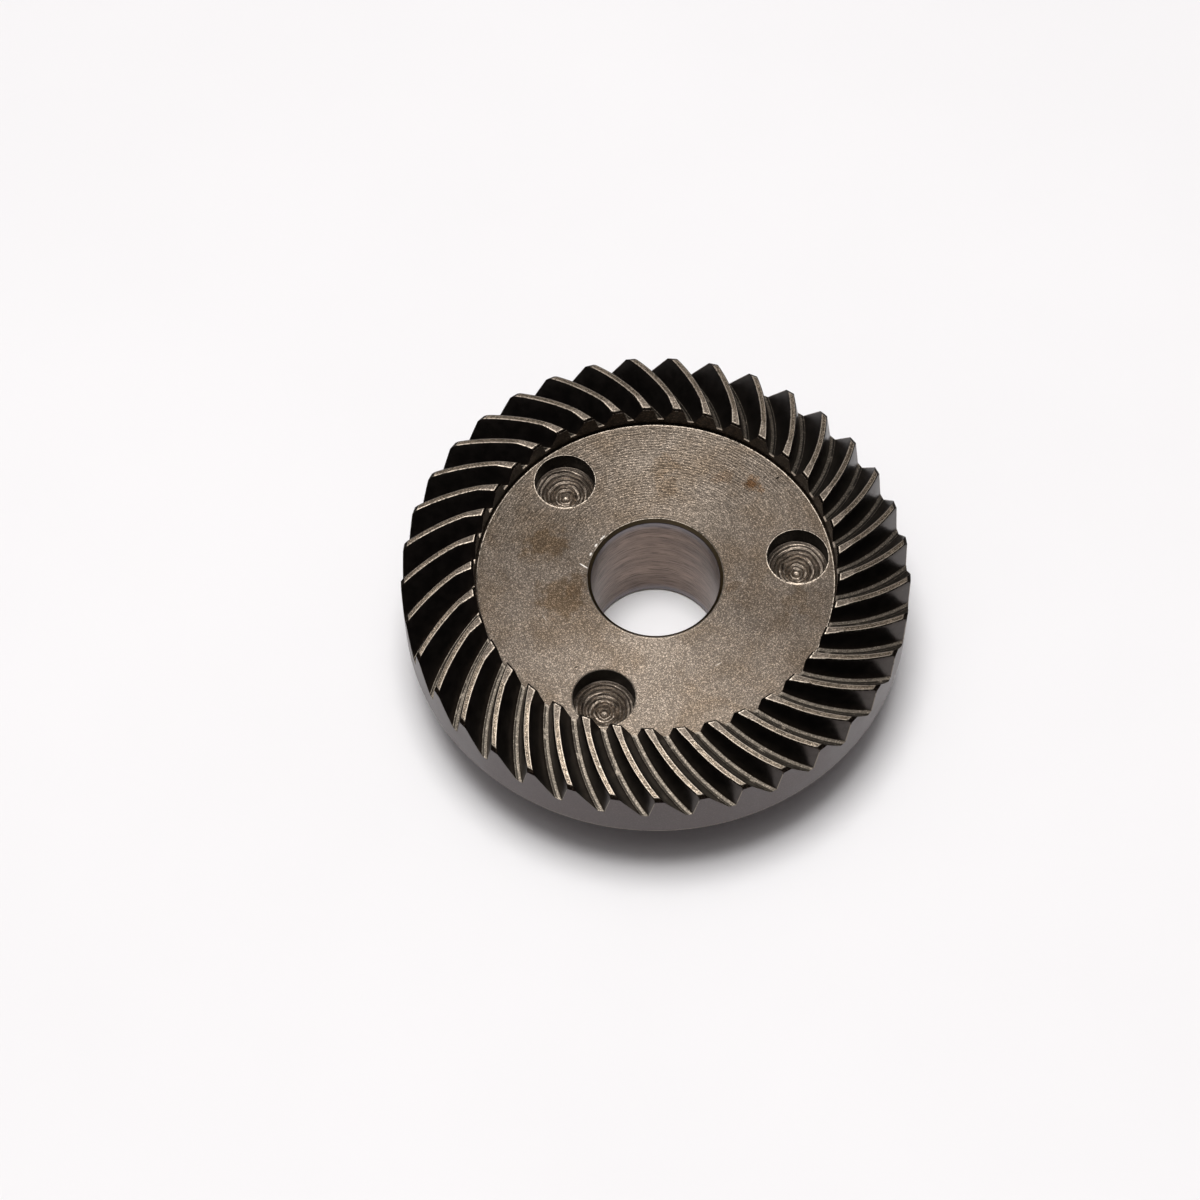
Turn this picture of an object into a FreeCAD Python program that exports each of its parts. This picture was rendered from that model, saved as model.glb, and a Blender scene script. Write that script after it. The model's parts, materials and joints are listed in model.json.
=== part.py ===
import FreeCAD, Part
import math
import os

# Sizes in millimetres and degrees
bore_diameter = 15.0
bore_chamfer = 0.4
hub_diameter = 28.0
hub_chamfer = 0.5
hub_flare = 1.5
face_height = 16.6
face_diameter = 41.6
rim_height = 10.2
rim_chamfer = 0.25
outside_diameter = 59.0
tip_chamfer = 0.4
toe_height = 3.15
toe_chamfer = 0.27
groove_width = 0.23
groove_depth = 0.2

# Sizes of the teeth
tooth_count = 37
apex_height = 8.9
face_angle = 14.0
pitch_angle = 16.7
root_angle = 20.8
spiral_angle = 34.0
mean_diameter = 50.4
cutter_radius = 24.4
pressure_angle = 20.0
bottom_land = 0.62
space_phase = 6.74

# Sizes of the blind holes
pin_count = 3
pin_diameter = 7.2
pin_circle = 33.6
pin_depth = 2.7
pin_point_angle = 130.0

# How far the cutting tools stand clear of the blank, and sections along one tooth space
clear = 0.5
section_count = 5

axis = FreeCAD.Vector(0, 0, 1)
base = FreeCAD.Vector(0, 0, 0)
pitch = math.radians(pitch_angle)
face_slope = math.tan(math.radians(face_angle))
apex_z = face_height + apex_height


# Solid turned from a closed outline of radius and height
def turned(outline):
    points = [FreeCAD.Vector(radius, 0, z) for radius, z in outline]
    return Part.Face(Part.makePolygon(points + points[:1])).revolve(base, axis, 360)


# Blank with its hub, bore, tooth cones, and a narrow groove between the flat face and the teeth
def blank():
    bore = bore_diameter / 2
    hub = hub_diameter / 2
    face = face_diameter / 2
    toe = face + groove_width
    outside = outside_diameter / 2
    tip = outside - tip_chamfer
    tip_z = apex_z - tip * face_slope
    top_z = face_height + toe_height
    groove_z = face_height - groove_depth
    return turned([
        (bore, bore_chamfer),
        (bore + bore_chamfer, 0),
        (hub - hub_chamfer, 0),
        (hub, hub_chamfer),
        (hub, rim_height - hub_flare),
        (hub + hub_flare, rim_height),
        (outside - rim_chamfer, rim_height),
        (outside, rim_height + rim_chamfer),
        (outside, tip_z - tip_chamfer),
        (tip, tip_z),
        ((apex_z - top_z) / face_slope, top_z),
        (toe + toe_chamfer, top_z),
        (toe, top_z - toe_chamfer),
        (toe, groove_z),
        (face, groove_z),
        (face, face_height),
        (bore + bore_chamfer, face_height),
        (bore, face_height - bore_chamfer),
    ])


# Blind hole with a drilled point
def pin_hole():
    radius = pin_diameter / 2
    point = radius / math.tan(math.radians(pin_point_angle / 2))
    drill = turned([
        (0, face_height + clear),
        (radius, face_height + clear),
        (radius, face_height - pin_depth),
        (0, face_height - pin_depth - point),
    ])
    drill.translate(FreeCAD.Vector(pin_circle / 2, 0, 0))
    return drill


# Tooth trace, a circular cutter arc laid on the pitch cone
mean_distance = mean_diameter / 2 / math.cos(pitch)
cutter_distance = math.sqrt(
    mean_distance ** 2 + cutter_radius ** 2
    - 2 * mean_distance * cutter_radius * math.sin(math.radians(spiral_angle)))


def trace_turn(distance):
    square = distance ** 2 + cutter_distance ** 2 - cutter_radius ** 2
    return -math.acos(square / (2 * distance * cutter_distance)) / math.cos(pitch)


def trace_slant(distance):
    square = distance ** 2 + cutter_radius ** 2 - cutter_distance ** 2
    return math.asin(square / (2 * distance * cutter_radius))


# Outline of a tooth space, square to the trace at a distance from the apex
def section(distance):
    turn = trace_turn(distance) - trace_turn(mean_distance) + math.radians(space_phase)
    slant = trace_slant(distance)
    outward = FreeCAD.Vector(math.cos(turn), math.sin(turn), 0)
    around = FreeCAD.Vector(-math.sin(turn), math.cos(turn), 0)
    along = outward * math.cos(pitch) - axis * math.sin(pitch)
    normal = outward * math.sin(pitch) + axis * math.cos(pitch)
    across = around * math.cos(slant) - along * math.sin(slant)
    centre = axis * apex_z + along * distance
    bottom = distance * math.tan(pitch - math.radians(root_angle))
    top = distance * math.tan(pitch - math.radians(face_angle)) + clear
    narrow = bottom_land / 2
    wide = narrow + (top - bottom) * math.tan(math.radians(pressure_angle))
    corners = [(-narrow, bottom), (narrow, bottom), (wide, top), (-wide, top)]
    points = [centre + across * x + normal * y for x, y in corners]
    return Part.makePolygon(points + points[:1])


# Spiral tooth space, a loft that runs out past both ends of the teeth
def tooth_space():
    spare = math.pi * mean_diameter / tooth_count / 2
    first = (face_diameter / 2 - spare) / math.cos(pitch)
    last = (outside_diameter / 2 + spare) / math.cos(pitch)
    step = (last - first) / (section_count - 1)
    return Part.makeLoft([section(first + step * k) for k in range(section_count)], True)


# Copies of one tool, evenly turned about the axis
def pattern(tool, count):
    return [tool.rotated(base, axis, 360 * k / count) for k in range(count)]


tools = pattern(tooth_space(), tooth_count) + pattern(pin_hole(), pin_count)
[gear] = blank().cut(tools).removeSplitter().Solids

os.makedirs("parts", exist_ok=True)
gear.exportStep("parts/gear.step")
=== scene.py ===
import json
import random
from contextlib import contextmanager
from math import acos, asin, atan2, cos, hypot, pi, radians, sin, sqrt, tan

import bpy
from bpy.props import FloatProperty, FloatVectorProperty, IntProperty, PointerProperty
from mathutils import Matrix, Vector, noise


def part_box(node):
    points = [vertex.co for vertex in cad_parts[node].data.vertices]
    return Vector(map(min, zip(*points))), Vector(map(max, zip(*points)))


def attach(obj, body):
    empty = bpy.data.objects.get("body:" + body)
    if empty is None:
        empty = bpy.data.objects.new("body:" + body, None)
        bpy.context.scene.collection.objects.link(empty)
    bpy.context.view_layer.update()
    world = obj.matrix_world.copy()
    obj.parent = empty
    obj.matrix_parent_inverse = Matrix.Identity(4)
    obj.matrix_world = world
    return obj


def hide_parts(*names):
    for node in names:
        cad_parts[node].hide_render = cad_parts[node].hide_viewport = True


bl_info = {
    "name": "Spiral bevel gear",
    "version": (1, 0, 0),
    "blender": (4, 5, 0),
    "location": "3D View > Sidebar > Gear",
    "description": "Models a worn steel spiral bevel gear on a pale floor",
    "category": "Object",
}

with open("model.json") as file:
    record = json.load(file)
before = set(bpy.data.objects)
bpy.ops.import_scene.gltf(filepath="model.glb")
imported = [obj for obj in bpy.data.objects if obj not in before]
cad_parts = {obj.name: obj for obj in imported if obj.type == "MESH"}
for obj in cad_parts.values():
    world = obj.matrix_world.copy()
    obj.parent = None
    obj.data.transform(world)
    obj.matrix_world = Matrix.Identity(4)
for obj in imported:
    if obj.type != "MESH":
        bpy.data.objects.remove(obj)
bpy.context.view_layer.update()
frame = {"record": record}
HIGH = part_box("gear")[1]
MM = 0.001
MOUNTS = {mount["name"]: mount for mount in frame["record"]["mounts"]}
FACE_Z = MOUNTS["front_face"]["pos_m"][2]
UP = Vector((0, 0, 1))
ZONES = ("flank", "root", "crest", "land", "edge", "lip", "toe", "face", "bore", "hole", "rim", "back")
WELD = 0.002 * MM
LEVEL_GAP = 0.001 * MM
RING_STEPS = 192
HOLE_STEPS = 96
HOLES = 3
HOLE_TURN = radians(0.7)
# Steps along a tooth outside and inside the kink of its top, and the share of its length left at each end
OUTER_STEPS = 24
INNER_STEPS = 7
END_SHARE = 0.014
# Half width of a tooth top in the "Tooth" map, with 32 columns across a pitch
TOP_HALF = 2 / 32
# Brightness of the light tent, against the cosine of the angle from its brightest place
SKY = ((0, 0.014), (0.5, 0.03), (0.82, 0.06), (0.91, 0.15), (0.935, 0.34), (0.96, 0.78), (0.977, 1))
# Bright scratches and dark pits of the flat face: middle and half sizes in millimetres, turn in degrees,
# strength, which is negative for a pit
SCRATCHES = ((-7.95, 2.86, 0.75, 0.1, -44, 1.0), (-6.93, 4.29, 0.28, 0.15, 58, 0.9),
             (-6.13, 5.37, 0.28, 0.15, 49, 0.9), (-5.21, 6.25, 0.5, 0.13, 40, 0.7),
             (5.2, -12.4, 0.5, 0.05, 20, 0.4), (-13.5, -3.2, 0.6, 0.05, -70, 0.3),
             (16.44, 10.88, 0.26, 0.2, 30, -0.9), (-10.9, -10.1, 0.22, 0.16, 0, -0.7),
             (12.7, 10.6, 0.5, 0.12, -20, -0.5))
# Stains and rust spots of the flat face: place and reach in millimetres, strength
FACE_STAINS = ((-11.4, -1.1, 2.6, 0.55), (-12.0, 6.4, 2.5, 0.6), (-9.4, 0.5, 1.6, 0.5), (3.6, 14.6, 1.6, 0.35),
               (3.3, 11.9, 1.5, 0.35), (15.9, -5.8, 1.8, 0.35), (8.8, -2.6, 1.0, 0.35), (11.4, -5.0, 2.4, 0.15))
RUST_SPOTS = ((13.45, 10.7, 1.1, 0.5), (13.25, 10.64, 0.6, 0.6), (14.25, 9.6, 0.5, 0.45),
              (10.6, 12.1, 0.9, 0.25), (9.5, 12.0, 0.8, 0.25))


def mount_radius(name):
    return MOUNTS[name]["dims"]["r_mm"] * MM


def label(name):
    """Name as shown in the panel and on the node groups."""
    return name.replace("_", " ").capitalize()


def length(description, default):
    return FloatProperty(description=description, default=default, unit="LENGTH", precision=6)


def angle(description, degrees):
    return FloatProperty(description=description, default=radians(degrees), subtype="ANGLE", unit="ROTATION")


def colour(description, default):
    return FloatVectorProperty(description=description, default=default, subtype="COLOR", size=3, min=0, max=1)


class GearSizes(bpy.types.PropertyGroup):
    """Sizes of the gear."""
    outer_radius: length("Radius over the heels of the teeth", HIGH.x)
    top: length("Height of the flat lands at the inner ends of the teeth", HIGH.z)
    face_height: length("Height of the flat face", FACE_Z)
    face_radius: length("Radius of the flat face", 20.8 * MM)
    groove_width: length("Gap between the flat face and the teeth", 0.23 * MM)
    groove_depth: length("Depth of the gap below the flat face", 0.2 * MM)
    toe_chamfer: length("Chamfer at the inner ends of the teeth", 0.27 * MM)
    tip_chamfer: length("Chamfer at the outer ends of the teeth", 0.4 * MM)
    rim_height: length("Height of the flat back of the rim", 10.2 * MM)
    rim_chamfer: length("Chamfer of the rim's lower edge", 0.25 * MM)
    bore_radius: length("Radius of the shaft bore", mount_radius("bore"))
    bore_chamfer: length("Chamfer at both ends of the bore", 0.4 * MM)
    hub_radius: length("Radius of the hub under the rim", 14 * MM)
    hub_chamfer: length("Chamfer of the hub's lower edge", 0.5 * MM)
    hub_flare: length("Cone between the hub and the rim", 1.5 * MM)
    hole_radius: length("Radius of the blind lock holes", mount_radius("lock_hole_1"))
    hole_circle: length("Radius on which the lock holes stand", MOUNTS["lock_hole_1"]["pos_m"][0])
    hole_depth: length("Depth of the straight part of a lock hole", 2.7 * MM)
    hole_point: angle("Full angle of the drilled point", 130)
    ridge_pitch: length("Spacing of the drill marks in a lock hole", 0.44 * MM)
    ridge_height: length("Height of the drill marks in a lock hole", 0.07 * MM)
    burr: length("Height of the raised edge round the face and the holes", 0.035 * MM)


class ToothSizes(bpy.types.PropertyGroup):
    """Sizes of the spiral teeth."""
    count: IntProperty(description="Number of teeth", default=37, min=3)
    apex_height: length("Height of the cones' apex above the flat face", 8.9 * MM)
    face_angle: angle("Slope of the tooth tops", 14)
    pitch_angle: angle("Slope of the pitch cone", 16.7)
    root_angle: angle("Slope of the bottoms of the spaces", 20.8)
    spiral_angle: angle("Slant of the teeth at their middle", 34)
    mean_radius: length("Radius at the middle of the teeth", 25.2 * MM)
    cutter_radius: length("Radius of the tooth curve", 24.4 * MM)
    pressure_angle: angle("Lean of the tooth flanks", 20)
    bottom_land: length("Width of the bottom of a space", 0.62 * MM)
    space_phase: angle("Place of the first space round the axis", 6.74)
    fillet: length("Radius between the bottom of a space and the flanks", 0.09 * MM)
    edge_round: length("Width of the worn edges of the tooth tops", 0.055 * MM)
    lip_round: length("Width of the dark edges of the tooth tops, on their other side", 0.12 * MM)


class GearColours(bpy.types.PropertyGroup):
    """Colours of the steel and of its stains."""
    face: colour("Turned steel of the flat face", (0.178, 0.147, 0.118))
    stain: colour("Old oil and light rust on the face", (0.62, 0.48, 0.3))
    rust: colour("Rust spots", (0.66, 0.41, 0.18))
    crest: colour("Worn tops of the teeth", (0.15, 0.122, 0.093))
    # Also used for painted highlight and painted shade along edges, the inner ends of the spaces and the rim chamfer
    edge: colour("Bare steel on edges and burrs", (0.27, 0.232, 0.19))
    flank: colour("Dark oiled tooth flanks", (0.047, 0.039, 0.035))
    root: colour("Bottoms of the tooth spaces", (0.2, 0.172, 0.139))
    bore: colour("Ground steel of the bore", (0.2, 0.143, 0.115))
    rim: colour("Smooth outer wall and back", (0.08, 0.065, 0.063))
    # Painted shade: near-black for the recessed walls of the lock holes
    hole: colour("Dark walls of the lock holes", (0.008, 0.007, 0.006))
    # Near-black: partly dark steel, partly painted shade on the dimly lit end walls, their chamfers and the groove
    toe: colour("Dark inner ends of the teeth", (0.03, 0.022, 0.016))
    bore_end: colour("Bluish steel near the ends of the bore", (0.26, 0.28, 0.34))
    bore_lip: colour("Yellowish chamfers of the bore", (0.3, 0.235, 0.14))
    scratch: colour("Bright scratches on the face", (0.9, 0.86, 0.78))
    pit: colour("Dark pits in the face", (0.01, 0.008, 0.006))


class StageSettings(bpy.types.PropertyGroup):
    """Floor, light and camera."""
    floor: colour("Plain pale floor", (0.872, 0.863, 0.868))
    sky: FloatProperty(description="Brightness of the light tent overhead", default=2.9, min=0)
    softbox: FloatProperty(description="Power of the lamp overhead", default=5.6, min=0, unit="POWER")
    softbox_size: length("Width of the lamp", 0.36)
    softbox_place: FloatVectorProperty(description="Place of the lamp, before the turn",
                                       default=(-0.042, 0.0, 0.9), subtype="XYZ", unit="LENGTH")
    lens: FloatProperty(description="Focal length of the camera", default=97.76, subtype="DISTANCE_CAMERA")
    elevation: angle("Camera angle above the horizon", 61.19)
    azimuth: angle("Turn of the camera round the gear", -7.77)
    roll: angle("Turn of the camera about its view", -1.484)
    distance: length("From the camera to the point it looks at", 377.17 * MM)
    aim: FloatVectorProperty(description="Point the camera looks at, before the turn",
                             default=(-6.506 * MM, -2.812 * MM, FACE_Z), subtype="XYZ", unit="LENGTH")


# Editing helpers
def set_mode(mode):
    bpy.ops.object.mode_set(mode=mode)


def deselect():
    if bpy.context.object and bpy.context.object.mode != "OBJECT":
        set_mode("OBJECT")
    bpy.ops.object.select_all(action="DESELECT")


def activate(piece, *others):
    deselect()
    for each in (piece, *others):
        each.select_set(True)
    bpy.context.view_layer.objects.active = piece


def edit(piece, kind="VERT", action="DESELECT"):
    """Opens a piece in edit mode, with nothing or everything selected."""
    activate(piece)
    set_mode("EDIT")
    bpy.ops.mesh.select_mode(type=kind)
    bpy.ops.mesh.select_all(action=action)


def weld(piece, kind):
    edit(piece, kind, "SELECT")
    bpy.ops.mesh.remove_doubles(threshold=WELD)


def pick_group(piece, name):
    edit(piece)
    piece.vertex_groups.active_index = piece.vertex_groups[name].index
    bpy.ops.object.vertex_group_select()
    set_mode("OBJECT")


@contextmanager
def new_faces(piece, zone):
    """Edit mode, in which all new faces go to one zone."""
    known = len(piece.data.polygons)
    set_mode("EDIT")
    yield
    set_mode("OBJECT")
    for face in piece.data.polygons[known:]:
        face.material_index = ZONES.index(zone)


def fill_open(piece, zone, level):
    """Fills the surface between the open edges at a height."""
    edit(piece, "EDGE")
    bpy.ops.mesh.select_non_manifold(extend=False)
    set_mode("OBJECT")
    for side in piece.data.edges:
        side.select = side.select and is_level(piece, side, level)
    with new_faces(piece, zone):
        bpy.ops.mesh.fill(use_beauty=False)


def is_level(piece, part, level):
    """Whether all points of an edge or a face lie at a height."""
    return all(abs(piece.data.vertices[k].co.z - level) < LEVEL_GAP for k in part.vertices)


def pull(piece, steps):
    """Extrudes the selected loop of points once for each step, and lays each new point where the step says."""
    for zone, place in steps:
        with new_faces(piece, zone):
            bpy.ops.mesh.extrude_region_move()
        for point in piece.data.vertices:
            if point.select:
                point.co = place(point.co)


def add_materials(piece):
    for zone in ZONES:
        name = "steel_" + zone
        piece.data.materials.append(bpy.data.materials.get(name) or bpy.data.materials.new(name))


def add_circle(name, vertices, radius, height, turn=0):
    """Circle of points round the axis, ready to be pulled."""
    deselect()
    bpy.ops.mesh.primitive_circle_add(vertices=vertices, radius=radius, location=(0, 0, height),
                                      rotation=(0, 0, turn))
    bpy.ops.object.transform_apply()
    piece = bpy.context.object
    piece.name = name
    add_materials(piece)
    edit(piece, action="SELECT")
    set_mode("OBJECT")
    return piece


def at_radius(co, radius, height):
    """Point at a radius and height, on the same side of the axis as co."""
    scale = radius / hypot(co.x, co.y)
    return Vector((co.x * scale, co.y * scale, height))


def ring(radius, height=None):
    """Place for pulled points, at a radius and at a height, or at their own height."""
    return lambda co: at_radius(co, radius, co.z if height is None else height)


def wobble(co, detail, seed):
    """Even noise round the axis, from -1 to 1."""
    way = Vector((co.x, co.y, 0)).normalized() * detail
    return noise.noise(way + UP * seed)


def burr_ring(gear, radius, mean, swing, detail, seed):
    """Place for pulled points on an uneven burr that stands on the flat face."""
    return lambda co: at_radius(co, radius, gear.face_height + gear.burr * (mean + swing * wobble(co, detail, seed)))


def turned(co, turn):
    return Matrix.Rotation(turn, 3, "Z") @ co


def setup(made, **settings):
    for name, setting in settings.items():
        setattr(made, name, setting)
    return made


def modify(piece, kind, **settings):
    """Adds a modifier with its settings, and applies it."""
    activate(piece)
    bpy.ops.object.modifier_add(type=kind)
    bpy.ops.object.modifier_apply(modifier=setup(piece.modifiers[-1], **settings).name)


def copy_round(piece, count, merge):
    """Copies a piece evenly round the axis."""
    deselect()
    bpy.ops.object.empty_add(rotation=(0, 0, 2 * pi / count))
    pivot = bpy.context.object
    modify(piece, "ARRAY", count=count, use_relative_offset=False, use_object_offset=True, offset_object=pivot,
           use_merge_vertices=merge, use_merge_vertices_cap=merge, merge_threshold=WELD)
    bpy.data.objects.remove(pivot)


class ToothSpace:
    """Flanks of one tooth space, cut along a circular arc laid on the pitch cone."""

    def __init__(self, gear, teeth):
        self.gear = gear
        self.teeth = teeth
        self.cone = teeth.pitch_angle
        self.cos, self.sin = cos(self.cone), sin(self.cone)
        self.apex = gear.face_height + teeth.apex_height
        self.half = teeth.bottom_land / 2
        self.lean = tan(teeth.pressure_angle)
        self.pitch_turn = 2 * pi / teeth.count
        mean = teeth.mean_radius / self.cos
        cutter = teeth.cutter_radius
        self.offset = sqrt(mean ** 2 + cutter ** 2 - 2 * mean * cutter * sin(teeth.spiral_angle))
        self.start = self.turn(mean) - teeth.space_phase

    def turn(self, distance):
        square = distance ** 2 + self.offset ** 2 - self.teeth.cutter_radius ** 2
        return -acos(square / (2 * distance * self.offset)) / self.cos

    def slant(self, distance):
        square = distance ** 2 + self.teeth.cutter_radius ** 2 - self.offset ** 2
        return asin(square / (2 * distance * self.teeth.cutter_radius))

    def floor(self, distance):
        return distance * tan(self.cone - self.teeth.root_angle)

    def point(self, distance, across, height):
        turn = self.turn(distance) - self.start
        slant = self.slant(distance)
        outward = Vector((cos(turn), sin(turn), 0))
        around = Vector((-sin(turn), cos(turn), 0))
        along = outward * self.cos - UP * self.sin
        normal = outward * self.sin + UP * self.cos
        sideways = around * cos(slant) - along * sin(slant)
        return UP * self.apex + along * distance + sideways * across + normal * height

    def near_floor(self, radius, across, lift):
        """Point of the rounded bottom at a radius from the axis."""
        distance = radius / self.cos
        for _ in range(6):
            point = self.point(distance, across, self.floor(distance) + lift)
            distance += (radius - hypot(point.x, point.y)) / self.cos
        return point

    def flank(self, radius, side, z):
        """Point of a flank at a radius from the axis and a height."""
        drop = self.apex - z
        distance = radius * self.cos + drop * self.sin
        height = radius * self.sin - drop * self.cos
        for _ in range(6):
            across = side * (self.half + (height - self.floor(distance)) * self.lean)
            point = self.point(distance, across, height)
            out = radius - hypot(point.x, point.y)
            rise = z - point.z
            distance += out * self.cos - rise * self.sin
            height += out * self.sin + rise * self.cos
        return point

    def fillet(self, share):
        """Width and lift on the fillet between the floor and a flank."""
        radius = self.teeth.fillet
        sweep = pi / 2 - self.teeth.pressure_angle
        start = self.half - radius * tan(sweep / 2)
        bend = share * sweep
        return start + radius * sin(bend), radius * (1 - cos(bend))

    def top(self, radius):
        return min(self.gear.top, self.apex - radius * tan(self.teeth.face_angle))


def tooth_columns():
    """Places across one tooth, from the middle of one space to the middle of the next."""
    half = [("floor", 0), ("floor", 0.5), *[("fillet", k / 3) for k in range(4)],
            *[("flank", k / 6) for k in range(1, 6)], *[("round", k / 3) for k in range(4)]]
    crest = [(0, "crest", k / 4) for k in range(1, 4)]
    return [(1, *column) for column in half] + crest + [(-1, *column) for column in reversed(half)]


def tooth_point(space, column, radius):
    """Point of a tooth on one of its columns, at a radius from the axis."""
    side, kind, share = column
    top = space.top(radius)
    round_off = space.teeth.lip_round if side > 0 else space.teeth.edge_round
    if kind == "crest":
        left, right = (tooth_point(space, (end, "round", 1), radius) for end in (1, -1))
        sweep = atan2(right.y, right.x) - atan2(left.y, left.x)
        return turned(left, (sweep % (2 * pi)) * share)
    if kind == "floor":
        point = space.near_floor(radius, side * share * space.fillet(0)[0], 0)
    elif kind == "fillet":
        width, lift = space.fillet(share)
        point = space.near_floor(radius, side * width, lift)
    elif kind == "flank":
        width, lift = space.fillet(1)
        foot = space.near_floor(radius, side * width, lift).z
        point = space.flank(radius, side, foot + (top - round_off - foot) * share)
    else:
        low = space.flank(radius, side, top - round_off)
        corner = space.flank(radius, side, top)
        reach = side * round_off / cos(space.slant(radius / space.cos)) / radius
        over = turned(corner, reach)
        point = low * (1 - share) ** 2 + corner * 2 * share * (1 - share) + over * share ** 2
        point = at_radius(point, radius, point.z)
    return turned(point, space.pitch_turn) if side < 0 else point


def end_radius(space, column, wall, chamfer_z, sign):
    """Radius of an end wall with a chamfer, where a column of the tooth meets it."""
    radius = wall
    for _ in range(4):
        rise = max(0, tooth_point(space, column, radius).z - chamfer_z)
        radius = wall + sign * rise
    return radius


def chamfer_foot(space, column, wall, chamfer_z):
    """Point where a column of the tooth, or the chamfer below its end, meets an end wall."""
    side, kind, share = column
    if kind == "crest":
        left, right = (chamfer_foot(space, (end, "round", 1), wall, chamfer_z) for end in (1, -1))
        return at_radius(left.lerp(right, share), wall, chamfer_z)
    point = tooth_point(space, column, wall)
    if point.z <= chamfer_z:
        return point
    foot = space.flank(wall, side, chamfer_z)
    return turned(foot, space.pitch_turn) if side < 0 else foot


def tooth_stations(gear, teeth):
    """Shares of the way from the heel to the toe, with one at the kink of the tooth top."""
    drop = gear.face_height + teeth.apex_height - gear.top
    heel = gear.outer_radius - gear.tip_chamfer
    toe = gear.face_radius + gear.groove_width + gear.toe_chamfer
    kink = (heel - drop / tan(teeth.face_angle)) / (heel - toe)
    outer = [END_SHARE + (kink - END_SHARE) * k / OUTER_STEPS for k in range(OUTER_STEPS + 1)]
    inner = [kink + (1 - END_SHARE - kink) * k / INNER_STEPS for k in range(1, INNER_STEPS + 1)]
    return [0] + outer + inner + [1]


def zone_between(first, second):
    """Kind of surface between two neighbouring columns of a tooth."""
    kinds = {first[1], second[1]}
    if "crest" in kinds:
        return "crest"
    if "flank" in kinds:
        return "flank"
    if "round" in kinds:
        return "lip" if first[0] > 0 else "edge"
    return "root"


class GEAR_OT_tooth(bpy.types.Operator):
    """Model one pitch of the teeth, a tooth between the middles of two spaces"""
    bl_idname = "gear.tooth"
    bl_label = "Tooth"

    def execute(self, context):
        gear = context.scene.gear_sizes
        space = ToothSpace(gear, context.scene.gear_teeth)
        columns = tooth_columns()
        stations = tooth_stations(gear, space.teeth)
        across = len(columns) - 1
        along = len(stations) + 1
        deselect()
        bpy.ops.mesh.primitive_grid_add(x_subdivisions=across, y_subdivisions=along, size=1, calc_uvs=True)
        piece = context.object
        piece.name = "gear_teeth"
        piece.data.uv_layers[0].name = "Tooth"
        places = {point.index: (round((point.co.x + 0.5) * across), round((point.co.y + 0.5) * along))
                  for point in piece.data.vertices}

        heel_wall = gear.outer_radius
        heel_z = space.top(heel_wall - gear.tip_chamfer) - gear.tip_chamfer
        toe_wall = gear.face_radius + gear.groove_width
        toe_z = gear.top - gear.toe_chamfer
        heels = [end_radius(space, column, heel_wall, heel_z, -1) for column in columns]
        toes = [end_radius(space, column, toe_wall, toe_z, 1) for column in columns]
        for point in piece.data.vertices:
            column, station = places[point.index]
            if station == 0:
                point.co = chamfer_foot(space, columns[column], heel_wall, heel_z)
            elif station == along:
                point.co = chamfer_foot(space, columns[column], toe_wall, toe_z)
            else:
                radius = heels[column] + (toes[column] - heels[column]) * stations[station - 1]
                point.co = tooth_point(space, columns[column], radius)

        for face in piece.data.polygons:
            column, station = (min(places[k][way] for k in face.vertices) for way in (0, 1))
            low = min(piece.data.vertices[k].co.z for k in face.vertices)
            zone = zone_between(columns[column], columns[column + 1])
            if station in (0, along - 1):
                zone = "toe"
            elif zone == "crest" and station in (1, along - 2):
                zone = "edge"
            elif zone == "crest" and low > gear.top - 0.01 * MM:
                zone = "land"
            face.material_index = ZONES.index(zone)
        for name, wall in (("heel", heel_wall), ("toe", toe_wall)):
            row = [point.index for point in piece.data.vertices
                   if abs(hypot(point.co.x, point.co.y) - wall) < WELD / 2]
            piece.vertex_groups.new(name=name).add(row, 1, "REPLACE")
        weld(piece, "VERT")
        set_mode("OBJECT")
        return {"FINISHED"}


class GEAR_OT_teeth(bpy.types.Operator):
    """Copy the tooth round the axis and merge the copies"""
    bl_idname = "gear.teeth"
    bl_label = "Teeth"

    def execute(self, context):
        count = context.scene.gear_teeth.count
        piece = bpy.data.objects["gear_teeth"]
        faces_each = len(piece.data.polygons)
        add_materials(piece)
        copy_round(piece, count, merge=True)
        if len(piece.data.polygons) != faces_each * count:
            raise RuntimeError("the copies of the tooth didn't merge cleanly")
        draw = random.Random(37)
        shades = [draw.random() for _ in range(count)]
        mark = piece.data.attributes.new("tooth", "FLOAT", "FACE")
        mark.data.foreach_set("value", [shade for shade in shades for _ in range(faces_each)])
        return {"FINISHED"}


class GEAR_OT_rim(bpy.types.Operator):
    """Extrude the inner ends of the teeth to the face, and their outer ends down the rim"""
    bl_idname = "gear.rim"
    bl_label = "Rim and groove"

    def execute(self, context):
        gear = context.scene.gear_sizes
        piece = bpy.data.objects["gear_teeth"]
        groove_z = gear.face_height - gear.groove_depth
        chamfer = gear.rim_chamfer
        pick_group(piece, "toe")
        pull(piece, (
            ("toe", ring(gear.face_radius + gear.groove_width, groove_z)),
            ("toe", ring(gear.face_radius, groove_z)),
            ("toe", burr_ring(gear, gear.face_radius, 0.6, 0.4, 14, 3)),
            ("edge", ring(gear.face_radius - 2.2 * gear.burr)),
            ("face", ring(gear.face_radius - 4.4 * gear.burr, gear.face_height)),
        ))
        pick_group(piece, "heel")
        pull(piece, (
            ("rim", ring(gear.outer_radius, gear.rim_height + 1.3 * chamfer)),
            ("rim", ring(gear.outer_radius, gear.rim_height + chamfer)),
            ("rim", ring(gear.outer_radius - chamfer, gear.rim_height)),
            ("back", ring(gear.outer_radius - 1.3 * chamfer, gear.rim_height)),
        ))
        return {"FINISHED"}


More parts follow.
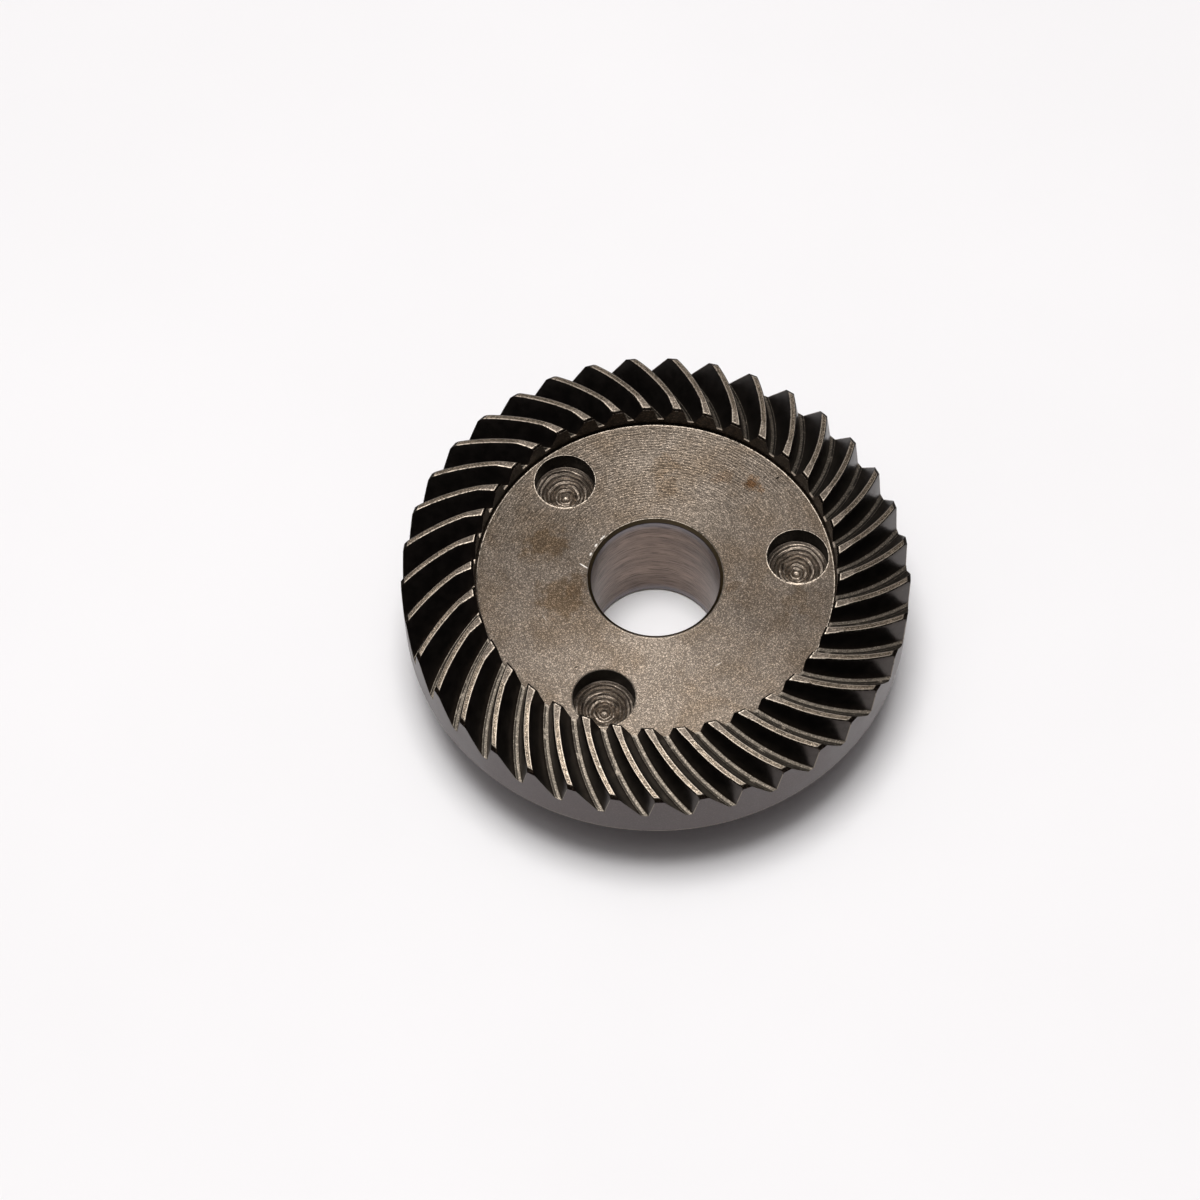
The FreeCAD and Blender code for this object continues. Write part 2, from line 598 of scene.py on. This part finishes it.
class GEAR_OT_bore(bpy.types.Operator):
    """Extrude the bore from a circle at the face, and the hub round its lower end"""
    bl_idname = "gear.bore"
    bl_label = "Bore and hub"

    def execute(self, context):
        gear = context.scene.gear_sizes
        bore = gear.bore_radius
        wide = bore + gear.bore_chamfer
        top = gear.face_height - gear.bore_chamfer
        wall = top - gear.bore_chamfer
        piece = add_circle("gear_bore", RING_STEPS, wide + 5 * gear.burr, gear.face_height)
        pull(piece, (
            ("face", burr_ring(gear, wide + 2.5 * gear.burr, 0.45, 0.5, 5, 8)),
            ("edge", ring(wide)),
            *[("bore", ring(bore, top - wall * part / 6)) for part in range(7)],
            ("bore", ring(wide, 0)),
            ("back", ring(gear.hub_radius - gear.hub_chamfer, 0)),
            ("back", ring(gear.hub_radius, gear.hub_chamfer)),
            ("back", ring(gear.hub_radius, gear.rim_height - gear.hub_flare)),
            ("back", ring(gear.hub_radius + gear.hub_flare, gear.rim_height)),
        ))
        return {"FINISHED"}


class GEAR_OT_lock_holes(bpy.types.Operator):
    """Extrude one drilled blind hole from a circle at the face, and copy it round the axis"""
    bl_idname = "gear.lock_holes"
    bl_label = "Lock holes"

    def execute(self, context):
        gear = context.scene.gear_sizes
        radius = gear.hole_radius
        pitch = gear.ridge_pitch
        floor = gear.face_height - gear.hole_depth
        slope = 1 / tan(gear.hole_point / 2)

        def drilled(step):
            """Place for pulled points on the drilled cone, on one of six rings to each drill mark."""
            def place(co):
                out = pitch * step / 6
                fade = min(1, (radius - out) / pitch, out / (3 * pitch))
                shift = 0.35 * wobble(co, 1.3, 2 + out / (1.6 * MM)) + 0.16 * wobble(co, 5, out / (1.2 * MM))
                out += pitch * shift * fade
                wave = sin(pi * step / 3) + 0.5 * sin(pi * step)
                rise = wave * gear.ridge_height * (1 + 0.7 * wobble(co, 0.5, step / 7))
                return at_radius(co, out, floor - (radius - out) * slope + rise * min(1, fade * 2))
            return place

        piece = add_circle("gear_lock_holes", HOLE_STEPS, radius + 5 * gear.burr, gear.face_height, HOLE_TURN)
        pull(piece, (
            ("face", burr_ring(gear, radius + 2.5 * gear.burr, 0.5, 0.5, 4, 21)),
            ("edge", ring(radius)),
            *[("hole", ring(radius, gear.face_height - gear.hole_depth * part / 4)) for part in range(1, 5)],
            *[("hole", drilled(step)) for step in range(int(6 * radius / pitch), 0, -1)],
        ))
        with new_faces(piece, "hole"):
            bpy.ops.mesh.extrude_region_move()
            bpy.ops.mesh.merge(type="CENTER")
        piece.location.x = gear.hole_circle
        bpy.ops.object.transform_apply(location=True)
        copy_round(piece, HOLES, merge=False)
        return {"FINISHED"}


class GEAR_OT_whole(bpy.types.Operator):
    """Join the teeth, bore and holes, close the face and the back, and finish the surface"""
    bl_idname = "gear.whole"
    bl_label = "Whole gear"

    def execute(self, context):
        gear = context.scene.gear_sizes
        levels = (("face", gear.face_height), ("back", gear.rim_height))
        piece = bpy.data.objects["gear_teeth"]
        activate(piece, bpy.data.objects["gear_bore"], bpy.data.objects["gear_lock_holes"])
        bpy.ops.object.join()
        piece.name = piece.data.name = "gear_steel"
        for zone, level in levels:
            fill_open(piece, zone, level)
        weld(piece, "EDGE")
        bpy.ops.mesh.normals_make_consistent(inside=False)
        bpy.ops.mesh.select_non_manifold(extend=False)
        set_mode("OBJECT")
        loose = sum(side.select for side in piece.data.edges)
        if loose:
            raise RuntimeError(f"the surface is open at {loose} edges")
        piece.vertex_groups.clear()
        activate(piece)
        bpy.ops.object.shade_smooth_by_angle(angle=radians(40))
        for face in piece.data.polygons:
            face.select = any(is_level(piece, face, level) for _, level in levels)
        set_mode("EDIT")
        bpy.ops.mesh.select_mode(type="FACE")
        bpy.ops.mesh.region_to_loop()
        bpy.ops.mesh.mark_sharp()
        set_mode("OBJECT")
        modify(piece, "WEIGHTED_NORMAL", keep_sharp=True)
        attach(piece, "root")
        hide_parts("gear")
        return {"FINISHED"}


# Node helpers
def node(tree, kind, inputs=None, **settings):
    """New node with its settings, and with its inputs set or linked."""
    made = setup(tree.nodes.new(kind), **settings)
    for name, given in (inputs or {}).items():
        socket = made.inputs[name]
        if isinstance(given, bpy.types.NodeSocket):
            tree.links.new(given, socket)
        else:
            socket.default_value = (*given, 1) if socket.type == "RGBA" else given
    return made


def maths(tree, operation, a, b=0, c=0):
    return node(tree, "ShaderNodeMath", {0: a, 1: b, 2: c}, operation=operation).outputs[0]


def times(tree, a, b):
    return maths(tree, "MULTIPLY", a, b)


def vectors(tree, operation, a, b=(0, 0, 0), scale=1):
    """Vector maths. Returns a number for a length, a distance or a dot product, otherwise a vector."""
    made = node(tree, "ShaderNodeVectorMath", {0: a, 1: b, 3: scale}, operation=operation)
    return made.outputs["Value" if operation in ("LENGTH", "DISTANCE", "DOT_PRODUCT") else "Vector"]


def span(tree, given, low, high, to_low=0, to_high=1):
    """Smooth step of a value from one range to another."""
    inputs = {"Value": given, "From Min": low, "From Max": high, "To Min": to_low, "To Max": to_high}
    return node(tree, "ShaderNodeMapRange", inputs, interpolation_type="SMOOTHSTEP").outputs[0]


def blend(tree, factor, a, b, mode="MIX"):
    return node(tree, "ShaderNodeMix", {0: factor, 6: a, 7: b}, data_type="RGBA", blend_type=mode).outputs[2]


def texture(tree, place, size, detail, **more):
    inputs = {"Vector": place, "Scale": maths(tree, "DIVIDE", 1, size), "Detail": detail, **more}
    return node(tree, "ShaderNodeTexNoise", inputs).outputs[0]


def lifted(tree, place, rise):
    """Moves a place along Z."""
    return vectors(tree, "ADD", place, node(tree, "ShaderNodeCombineXYZ", {"Z": rise}).outputs[0])


def gap(tree, a, b):
    """How far two values are apart."""
    return maths(tree, "ABSOLUTE", maths(tree, "SUBTRACT", a, b))


def around(tree, value, reach):
    """Two values, as far below and above one."""
    return [maths(tree, operation, value, reach) for operation in ("SUBTRACT", "ADD")]


def group(name, output, **inputs):
    """New node group with a place, named inputs and an output. Returns its tree and both kinds of sockets."""
    tree = bpy.data.node_groups.new(name, "ShaderNodeTree")
    for key, default in {"vector": (0, 0, 0), **inputs}.items():
        kind = "NodeSocketVector" if isinstance(default, tuple) else "NodeSocketFloat"
        tree.interface.new_socket(label(key), in_out="INPUT", socket_type=kind).default_value = default
    tree.interface.new_socket(output, in_out="OUTPUT", socket_type="NodeSocketFloat")
    return tree, tree.nodes.new("NodeGroupInput").outputs, tree.nodes.new("NodeGroupOutput").inputs[output]


def use(tree, name, **inputs):
    """Places a node group in a tree and returns its output."""
    given = {label(key): value for key, value in inputs.items()}
    return node(tree, "ShaderNodeGroup", given, node_tree=bpy.data.node_groups[name]).outputs[0]


def build_groups():
    # Rings left by a lathe tool, from the distance to the axis
    tree, given, out = group("Turned marks", "Marks", spacing=0.2 * MM, wander=2, even=0)
    flat = vectors(tree, "MULTIPLY", given["Vector"], (1, 1, 0))
    steps = maths(tree, "DIVIDE", vectors(tree, "LENGTH", flat), given["Spacing"])
    way = vectors(tree, "SCALE", vectors(tree, "NORMALIZE", flat), scale=given["Wander"])
    marks = texture(tree, lifted(tree, way, steps), 1, 2)
    drift = maths(tree, "MULTIPLY_ADD", marks, 2, steps)
    wave = maths(tree, "SINE", times(tree, drift, 2 * pi))
    tree.links.new(maths(tree, "MULTIPLY_ADD", wave, given["Even"], marks), out)

    # Fine even grain
    tree, given, out = group("Grain", "Grain", size=0.2 * MM, detail=3)
    tree.links.new(texture(tree, given["Vector"], given["Size"], given["Detail"], Roughness=0.6), out)

    # Grains of random brightness
    tree, given, out = group("Speckle", "Factor", size=0.14 * MM, dark=0.5, bright=1.8)
    scale = maths(tree, "DIVIDE", 1, given["Size"])
    cells = node(tree, "ShaderNodeTexVoronoi", {"Vector": given["Vector"], "Scale": scale}).outputs["Color"]
    draw = node(tree, "ShaderNodeSeparateColor", {0: cells}).outputs[0]
    factor = {"Value": maths(tree, "POWER", draw, 4), "To Min": given["Dark"], "To Max": given["Bright"]}
    tree.links.new(node(tree, "ShaderNodeMapRange", factor).outputs[0], out)

    # Uneven patches
    tree, given, out = group("Stain", "Mask", size=4 * MM, cover=0.5, softness=0.1)
    patches = texture(tree, given["Vector"], given["Size"], 6, Roughness=0.62, Distortion=0.6)
    limits = around(tree, maths(tree, "SUBTRACT", 1, given["Cover"]), given["Softness"])
    tree.links.new(span(tree, patches, *limits), out)

    # A ragged spot at one place
    tree, given, out = group("Spot", "Mask", centre=(0, 0, 0), radius=1 * MM, ragged=0.5)
    share = maths(tree, "DIVIDE", vectors(tree, "DISTANCE", given["Vector"], given["Centre"]), given["Radius"])
    patches = texture(tree, given["Vector"], maths(tree, "DIVIDE", given["Radius"], 1.6), 4)
    shift = times(tree, maths(tree, "SUBTRACT", patches, 0.5), given["Ragged"])
    tree.links.new(span(tree, maths(tree, "MULTIPLY_ADD", shift, 2, share), 0.5, 1.2, 1, 0), out)

    # A ragged line where a value passes a level
    tree, given, out = group("Line", "Mask", value=0, level=0, width=0.1 * MM, break_size=0.4 * MM, breaks=0.4)
    share = maths(tree, "DIVIDE", gap(tree, given["Value"], given["Level"]), given["Width"])
    patches = texture(tree, given["Vector"], given["Break size"], 2)
    unbroken = span(tree, patches, *around(tree, given["Breaks"], 0.06))
    tree.links.new(times(tree, span(tree, share, 0.4, 1, 1, 0), unbroken), out)


def scaled(given, factor):
    return tuple(min(1, part * factor) for part in given)


class Finish:
    """A metal finish under construction: its colour so far, and the places that its masks are built from."""

    def __init__(self, zone, base=None, metallic=1):
        material = bpy.data.materials["steel_" + zone]
        material.use_nodes = True
        self.base = base
        self.tree = tree = material.node_tree
        self.shader = tree.nodes["Principled BSDF"].inputs
        self.shader["Metallic"].default_value = metallic
        self.place = node(tree, "ShaderNodeTexCoord").outputs["Object"]
        self.along, self.across, self.height = node(tree, "ShaderNodeSeparateXYZ", {0: self.place}).outputs
        self.flat = vectors(tree, "MULTIPLY", self.place, (1, 1, 0))
        self.radius = vectors(tree, "LENGTH", self.flat)

    def use(self, name, **inputs):
        return use(self.tree, name, **{"vector": self.place, **inputs})

    def grain(self, size, detail, **more):
        """Grain with a size in millimetres."""
        return self.use("Grain", size=size * MM, detail=detail, **more)

    def line(self, value, level, width, break_size, breaks=0.35):
        return self.use("Line", value=value, level=level, width=width, break_size=break_size, breaks=breaks)

    def tooth_map(self):
        return node(self.tree, "ShaderNodeUVMap", uv_map="Tooth").outputs[0]

    def tooth_place(self):
        """Place across a tooth, from 0 to 1."""
        return node(self.tree, "ShaderNodeSeparateXYZ", {0: self.tooth_map()}).outputs["X"]

    def tooth_shade(self):
        """Random value of each tooth."""
        return node(self.tree, "ShaderNodeAttribute", attribute_name="tooth").outputs["Fac"]

    def tooth_noise(self, scale, detail):
        """Noise stretched across or along the teeth, and different on each tooth."""
        place = vectors(self.tree, "MULTIPLY", self.tooth_map(), scale)
        return texture(self.tree, lifted(self.tree, place, times(self.tree, self.tooth_shade(), 60)), 1, detail)

    def mottle(self, mask, colour, dark, light, low=0.3, high=0.7):
        """Starts with a darker and a lighter shade of one colour."""
        self.base = blend(self.tree, span(self.tree, mask, low, high), scaled(colour, dark), scaled(colour, light))

    def lay(self, mask, colour, factor=1, mode="MIX"):
        """Lays a colour, made darker or lighter by a factor, over the finish where a mask is."""
        self.base = blend(self.tree, mask, self.base, scaled(colour, factor), mode)

    def shade(self, factor):
        """Makes the finish darker or lighter by a factor."""
        self.base = vectors(self.tree, "SCALE", self.base, scale=factor)

    def speckle(self, size, dark, bright):
        """Makes grains of random brightness, with a size in millimetres."""
        self.shade(self.use("Speckle", size=size * MM, dark=dark, bright=bright))

    def outline(self, colour, factor):
        """Draws thin bright lines along both edges of a tooth top."""
        line = self.line(gap(self.tree, self.tooth_place(), 0.5), TOP_HALF - 0.005, 0.011, 0.6 * MM, 0.36)
        self.lay(times(self.tree, line, 0.8), colour, factor)

    def brush(self, amount):
        """Stretches the reflections across marks that run round the axis."""
        self.shader["Anisotropic"].default_value = amount
        self.tree.links.new(vectors(self.tree, "NORMALIZE", self.flat), self.shader["Tangent"])

    def finish(self, mask, rough, other, relief, strength, depth):
        """Gives the shader the colour, a roughness between two values, and bumps with a depth in millimetres."""
        bump = node(self.tree, "ShaderNodeBump", {"Height": relief, "Strength": strength, "Distance": depth * MM})
        for name, given in (("Base Color", self.base), ("Roughness", span(self.tree, mask, 0.3, 0.7, rough, other)),
                            ("Normal", bump.outputs[0])):
            self.tree.links.new(given, self.shader[name])


def paint_face(colours, gear):
    made = Finish("face")
    tree = made.tree
    marks = made.use("Turned marks", spacing=0.36 * MM, wander=16, even=0.3)
    coarse = made.use("Turned marks", spacing=0.9 * MM, wander=4)
    grain = made.grain(0.13, 2)
    cloud = made.grain(7, 3)
    # Painted sheen: the turned marks are painted stronger towards the far side, where the face catches the light, and
    # their bumps are deeper there too
    far_side_painted_light = span(tree, made.across, 2 * MM, 14 * MM, 0.3, 1)
    made.mottle(cloud, colours.face, 0.9, 1.1)
    made.lay(times(tree, span(tree, marks, 0.4, 0.8, 0, 0.7), far_side_painted_light), colours.face, 0.4)
    made.lay(span(tree, coarse, 0.5, 0.7, 0, 0.12), colours.face, 0.6)
    made.speckle(0.1, 0.74, 2.7)
    stains = made.use("Stain", size=6 * MM, cover=0.45, softness=0.2)
    made.lay(times(tree, stains, 0.45), colours.stain, mode="MULTIPLY")
    for spots, tint in ((FACE_STAINS, colours.stain), (RUST_SPOTS, colours.rust)):
        for x, y, reach, strength in spots:
            spot = made.use("Spot", centre=(x * MM, y * MM, gear.face_height), radius=reach * MM, ragged=1.2)
            made.lay(times(tree, spot, strength), tint, mode="MULTIPLY")
    for x, y, long, wide, degrees, strength in SCRATCHES:
        oval = node(tree, "ShaderNodeMapping",
                    {"Vector": made.place, "Location": (x * MM, y * MM, gear.face_height),
                     "Rotation": (0, 0, radians(degrees)), "Scale": (long * MM, wide * MM, MM)},
                    vector_type="TEXTURE").outputs[0]
        mask = span(tree, vectors(tree, "LENGTH", oval), 0.6, 1, abs(strength), 0)
        made.lay(mask, colours.scratch if strength > 0 else colours.pit)
    made.brush(0.36)
    made.finish(cloud, 0.42, 0.49, maths(tree, "MULTIPLY_ADD", grain, 0.6, times(tree, marks, far_side_painted_light)), 1,
                0.016)


def paint_crest(colours, gear):
    made = Finish("crest")
    tree = made.tree
    strokes = made.tooth_noise((6, 46, 1), 2)
    streaks = made.tooth_noise((64, 3, 1), 2)
    grain = made.grain(0.16, 3)
    made.mottle(made.tooth_shade(), colours.crest, 0.88, 1.1, 0, 1)
    made.lay(span(tree, strokes, 0.5, 0.3, 0, 0.6), colours.crest, 0.4)
    made.speckle(0.085, 0.62, 3.2)
    # Painted highlight: the tooth tops are painted lighter towards the left side; the streaks vary at random
    made.shade(times(tree, span(tree, made.along, -6 * MM, -22 * MM, 1, 1.45),
                     span(tree, streaks, 0.36, 0.64, 0.62, 1.4)))
    made.outline(colours.edge, 2.1)
    made.brush(0.5)
    made.finish(strokes, 0.58, 0.48, maths(tree, "ADD", strokes, grain), 0.4, 0.014)


def paint_land(colours, gear):
    made = Finish("land")
    grain = made.grain(0.13, 2)
    cloud = made.grain(0.8, 3)
    made.mottle(cloud, colours.face, 0.78, 1.02)
    made.speckle(0.1, 0.7, 2.4)
    made.outline(colours.edge, 1.7)
    made.brush(0.36)
    made.finish(cloud, 0.42, 0.49, grain, 0.6, 0.016)


def paint_edge(colours, gear):
    made = Finish("edge", scaled(colours.edge, 0.5))
    tree = made.tree
    beads = made.grain(0.3, 2)
    inner = span(tree, made.radius, gear.face_radius + 2.4 * MM, gear.face_radius + 1.8 * MM)
    # Painted highlight: edges are brightened towards the far side and at the inner ends of the teeth, on top of their
    # bare steel
    far_side_painted_light = span(tree, made.across, 2 * MM, 14 * MM)
    bare_steel_and_highlight = blend(tree, maths(tree, "MAXIMUM", inner, far_side_painted_light), colours.edge, scaled(colours.edge, 2.6))
    made.base = blend(tree, span(tree, beads, 0.36, 0.56), made.base, bare_steel_and_highlight)
    # Painted shade: the burrs round the face are darkened except towards the far side and the right, where the light
    # catches them
    lit = maths(tree, "MAXIMUM", span(tree, made.across, 0, 10 * MM), span(tree, made.along, 6 * MM, 15 * MM))
    burrs = span(tree, made.radius, gear.face_radius + 0.5 * MM, gear.face_radius + 0.2 * MM)
    made.lay(times(tree, burrs, span(tree, lit, 0, 1, 0.9, 0)), colours.edge, 0.12)
    made.finish(beads, 0.6, 0.45, beads, 0.3, 0.02)


def paint_lip(colours, gear):
    made = Finish("lip")
    beads = made.grain(0.3, 2)
    made.mottle(beads, colours.edge, 0.06, 0.3, 0.45, 0.65)
    made.finish(beads, 0.42, 0.32, beads, 0.3, 0.02)


def paint_flank(colours, gear):
    made = Finish("flank", metallic=0.93)
    cloud = made.grain(1.5, 3)
    speck = made.grain(0.14, 1)
    made.mottle(cloud, colours.flank, 0.8, 1.2)
    made.lay(span(made.tree, speck, 0.68, 0.78, 0, 0.5), colours.flank, 3)
    made.lay(made.line(made.radius, gear.outer_radius, 0.09 * MM, 0.8 * MM), colours.edge, 0.8)
    made.finish(cloud, 0.30, 0.38, speck, 0.15, 0.01)


def paint_root(colours, gear):
    made = Finish("root")
    tree = made.tree
    grain = made.grain(0.18, 3)
    made.mottle(made.tooth_noise((90, 5, 1), 3), colours.root, 0.72, 1.2, 0.35, 0.65)
    made.speckle(0.085, 0.7, 2.4)
    groove = made.line(made.tooth_place(), 0.955, 0.045, 1.5 * MM)
    made.lay(times(tree, groove, 0.9), colours.root, 0.08)
    # Painted highlight: a bright line near the inner ends of the spaces, painted mostly on the far side
    lip = made.line(made.radius, gear.face_radius + 0.3 * MM, 0.22 * MM, 0.4 * MM, 0.34)
    far_side_painted_light = span(tree, made.across, -8 * MM, 4 * MM, 0.2, 1)
    made.lay(times(tree, lip, far_side_painted_light), colours.edge, 3.2)
    made.finish(grain, 0.5, 0.6, grain, 0.4, 0.016)


def paint_toe(colours, gear):
    # Painted shade, partly: the ends of the teeth, their chamfers and the groove round the face are painted near-black
    # over a dark steel tone
    made = Finish("toe", colours.toe)
    grain = made.grain(0.2, 3)
    made.speckle(0.16, 0.5, 2.5)
    for drop in (0.25 * MM, 0.03 * MM):
        made.lay(made.line(made.height, gear.top - drop, 0.06 * MM, 0.25 * MM, 0.5), colours.edge)
    made.finish(grain, 0.34, 0.46, grain, 0.3, 0.012)


def paint_bore(colours, gear):
    made = Finish("bore")
    tree = made.tree
    round_axis = vectors(tree, "MULTIPLY", made.place, (0.06, 0.06, 1))
    lines = made.grain(0.12, 4, vector=round_axis)
    middle = gear.face_height / 2
    from_middle = gap(tree, made.height, middle)
    made.mottle(made.grain(1.6, 2, vector=round_axis), colours.bore, 0.85, 1.15, 0.35, 0.65)
    made.lay(span(tree, lines, 0.54, 0.38, 0, 0.9), colours.bore, 0.4)
    made.lay(span(tree, from_middle, middle - 1.9 * MM, middle - 0.5 * MM, 0, 0.4), colours.bore_end)
    made.lay(span(tree, made.radius, gear.bore_radius + 0.02 * MM, gear.bore_radius + 0.1 * MM), colours.bore_lip)
    made.finish(lines, 0.36, 0.28, lines, 0.25, 0.01)


def paint_hole(colours, gear):
    made = Finish("hole")
    tree = made.tree
    grain = made.grain(0.2, 3)
    # All holes are folded onto the one on the X axis
    half = pi / HOLES
    bearing = maths(tree, "WRAP", maths(tree, "ARCTAN2", made.across, made.along), half, -half)
    way = node(tree, "ShaderNodeCombineXYZ", {"X": maths(tree, "COSINE", bearing), "Y": maths(tree, "SINE", bearing)})
    folded = vectors(tree, "SCALE", way.outputs[0], scale=made.radius)
    place = vectors(tree, "SUBTRACT", folded, (gear.hole_circle, 0, 0))
    fine = made.use("Turned marks", vector=place, spacing=0.13 * MM, wander=1.6)
    broad = made.use("Turned marks", vector=place, spacing=0.42 * MM, wander=1.2)
    made.mottle(broad, colours.face, 1, 1.9, 0.35, 0.65)
    made.lay(span(tree, fine, 0.5, 0.6, 0, 0.75), colours.face, 0.35)
    made.speckle(0.12, 0.75, 1.9)
    floor = gear.face_height - gear.hole_depth
    # Painted shade: the straight walls above the floor of each hole are painted near-black; the drilled cone below
    # keeps the lighter steel
    made.lay(span(tree, made.height, floor - 0.05 * MM, floor + 0.05 * MM), colours.hole)
    made.finish(grain, 0.43, 0.52, grain, 0.2, 0.012)


def paint_rim(colours, gear):
    for zone in ("rim", "back"):
        made = Finish(zone)
        tree = made.tree
        relief = made.grain(0.12, 2)
        cloud = made.grain(5, 3)
        made.mottle(cloud, colours.rim, 0.9, 1.1)
        made.speckle(0.1, 0.88, 1.3)
        if zone == "rim":
            # Painted highlight: a bright line along the chamfer of the rim's lower edge
            line = made.line(made.height, gear.rim_height + gear.rim_chamfer, 0.1 * MM, 1 * MM)
            made.lay(times(tree, line, 0.7), colours.edge)
        else:
            marks = made.use("Turned marks", spacing=0.3 * MM, wander=2)
            made.lay(span(tree, marks, 0.5, 0.7, 0, 0.3), colours.rim, 0.6)
            relief = maths(tree, "ADD", relief, marks)
        made.finish(cloud, 0.36, 0.42, relief, 0.2, 0.01)


class GEAR_OT_steel(bpy.types.Operator):
    """Build the steel finishes of the gear"""
    bl_idname = "gear.steel"
    bl_label = "Steel finishes"

    def execute(self, context):
        build_groups()
        for paint in (paint_face, paint_crest, paint_land, paint_edge, paint_lip, paint_flank, paint_root,
                      paint_toe, paint_bore, paint_hole, paint_rim):
            paint(context.scene.gear_colours, context.scene.gear_sizes)
        return {"FINISHED"}


class GEAR_OT_stage(bpy.types.Operator):
    """Lay the pale floor, hang the soft light and place the camera"""
    bl_idname = "gear.stage"
    bl_label = "Floor, light and camera"

    def execute(self, context):
        stage = context.scene.gear_stage
        deselect()
        bpy.ops.mesh.primitive_plane_add(size=6)
        floor = context.object
        floor.name = "floor"
        paper = bpy.data.materials.new("floor_paper")
        paper.use_nodes = True
        tree = paper.node_tree
        shader = tree.nodes["Principled BSDF"].inputs
        place = node(tree, "ShaderNodeTexCoord").outputs["Object"]
        cloud = use(tree, "Grain", vector=place, size=60 * MM, detail=3.0)
        base = blend(tree, span(tree, cloud, 0.3, 0.7), scaled(stage.floor, 0.985), stage.floor)
        tree.links.new(base, shader["Base Color"])
        shader["Roughness"].default_value = 0.8
        floor.data.materials.append(paper)

        turn = Matrix.Rotation(stage.azimuth, 4, "Z")
        bpy.ops.object.camera_add()
        camera = context.scene.camera = context.object
        camera.name = "camera"
        setup(camera.data, sensor_width=36, lens=stage.lens, clip_start=0.01)
        camera.matrix_world = (turn @ Matrix.Translation(stage.aim) @ Matrix.Rotation(pi / 2 - stage.elevation, 4, "X")
                               @ Matrix.Rotation(stage.roll, 4, "Z") @ Matrix.Translation((0, 0, stage.distance)))

        bpy.ops.object.light_add(type="AREA")
        lamp = context.object
        lamp.name = "softbox"
        setup(lamp.data, shape="DISK", size=stage.softbox_size, energy=stage.softbox)
        lamp.location = turn @ Vector(stage.softbox_place)
        lamp.rotation_euler = lamp.location.to_track_quat("Z", "Y").to_euler()

        world = context.scene.world = bpy.data.worlds.new("studio")
        world.use_nodes = True
        tree = world.node_tree
        way = node(tree, "ShaderNodeTexCoord").outputs["Generated"]
        glow = node(tree, "ShaderNodeValToRGB",
                    {"Fac": vectors(tree, "DOT_PRODUCT", way, lamp.location.normalized())})
        glow.color_ramp.elements.remove(glow.color_ramp.elements[1])
        for cosine, level in SKY:
            part = glow.color_ramp.elements.new(cosine) if cosine else glow.color_ramp.elements[0]
            tint = sqrt(level)
            part.color = (level, level * (0.9 + 0.09 * tint), level * (0.92 + 0.065 * tint), 1)
        side = vectors(tree, "DOT_PRODUCT", way, turn @ Vector((-1, 0, 0)))
        strength = maths(tree, "MULTIPLY_ADD", side, 0.2 * stage.sky, stage.sky)
        background = tree.nodes["Background"].inputs
        tree.links.new(glow.outputs[0], background["Color"])
        tree.links.new(strength, background["Strength"])
        context.scene.view_settings.view_transform = "Standard"
        return {"FINISHED"}


class GEAR_PT_panel(bpy.types.Panel):
    """Sizes, colours and steps of the gear"""
    bl_idname = "GEAR_PT_panel"
    bl_label = "Spiral bevel gear"
    bl_space_type = "VIEW_3D"
    bl_region_type = "UI"
    bl_category = "Gear"

    def draw(self, context):
        for step in STEPS:
            self.layout.operator(step.bl_idname)
        for group_name, kind in GROUPS.items():
            box = self.layout.box()
            for name in kind.__annotations__:
                box.prop(getattr(context.scene, group_name), name, text=label(name))


STEPS = (GEAR_OT_tooth, GEAR_OT_teeth, GEAR_OT_rim, GEAR_OT_bore, GEAR_OT_lock_holes, GEAR_OT_whole,
         GEAR_OT_steel, GEAR_OT_stage)
GROUPS = {"gear_sizes": GearSizes, "gear_teeth": ToothSizes, "gear_colours": GearColours,
          "gear_stage": StageSettings}
CLASSES = (*GROUPS.values(), *STEPS, GEAR_PT_panel)


def register():
    for made in CLASSES:
        bpy.utils.register_class(made)
    for name, kind in GROUPS.items():
        setattr(bpy.types.Scene, name, PointerProperty(type=kind))


def unregister():
    for name in GROUPS:
        delattr(bpy.types.Scene, name)
    for made in reversed(CLASSES):
        bpy.utils.unregister_class(made)


def main():
    register()
    bpy.ops.gear.tooth()
    bpy.ops.gear.teeth()
    bpy.ops.gear.rim()
    bpy.ops.gear.bore()
    bpy.ops.gear.lock_holes()
    bpy.ops.gear.whole()
    bpy.ops.gear.steel()
    bpy.ops.gear.stage()


if __name__ == "__main__":
    main()
